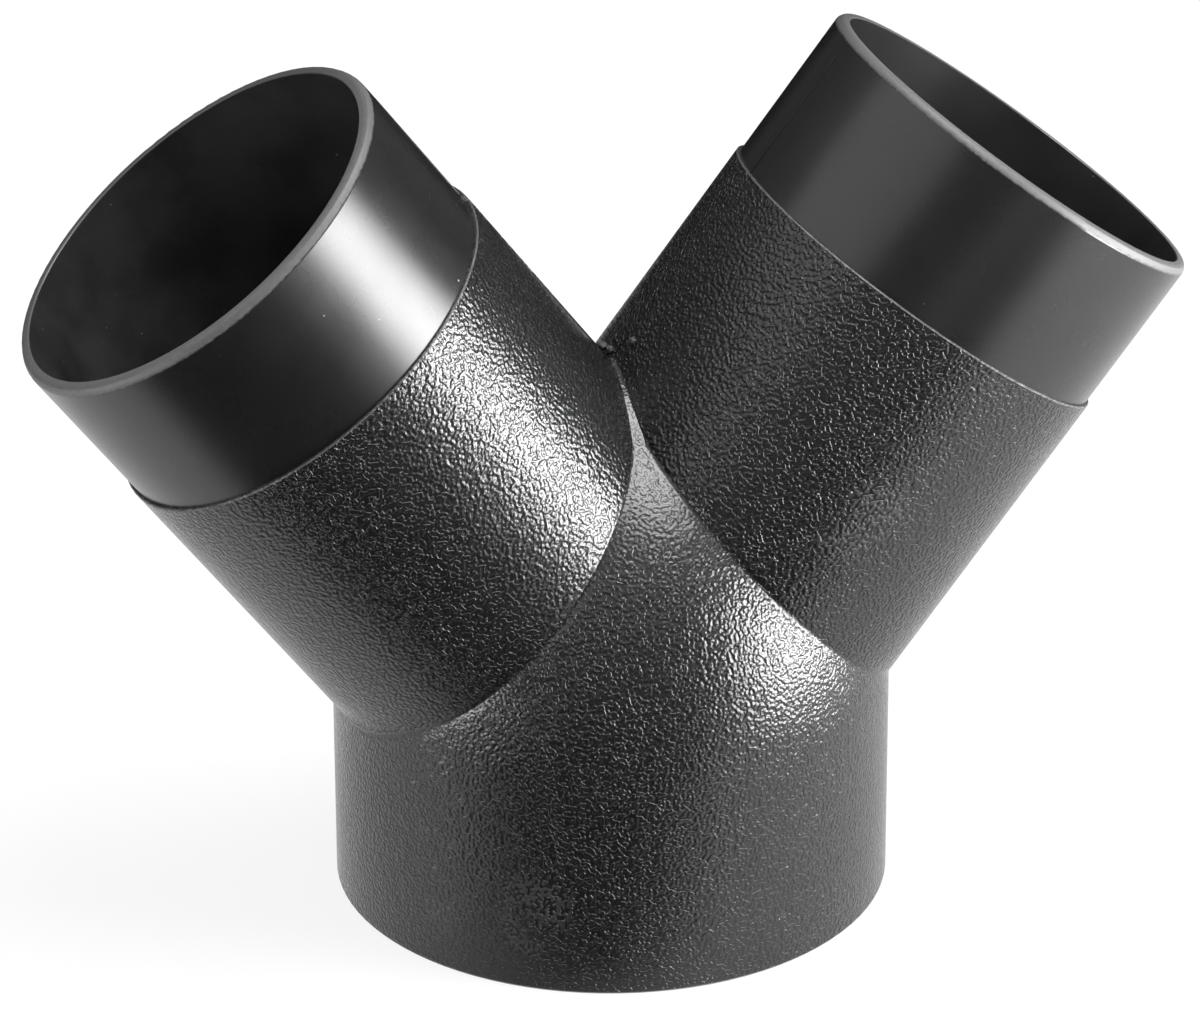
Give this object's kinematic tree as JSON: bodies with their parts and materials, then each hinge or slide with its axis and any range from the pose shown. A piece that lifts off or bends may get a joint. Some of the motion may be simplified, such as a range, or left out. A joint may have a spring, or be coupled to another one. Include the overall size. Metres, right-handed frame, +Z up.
{
  "type": "duct y branch",
  "caption": "Black moulded duct Y branch: a grained socket barrel with a domed top splits into leaning necks with smooth hose spigots.",
  "frame": {"origin": "centre of the barrel's lower rim, on the surface that the part stands on", "axes": "+Z up the barrel, +X towards one neck, +Y across the plane of the necks, away from the viewer of the picture"},
  "size_m": [0.2732, 0.132, 0.2057],
  "materials": {
    "body": "black moulded plastic, leather grain on barrel and necks, smooth semi-gloss spigots"
  },
  "bodies": {
    "root": {"y_branch": "body"}
  },
  "joints": []
}
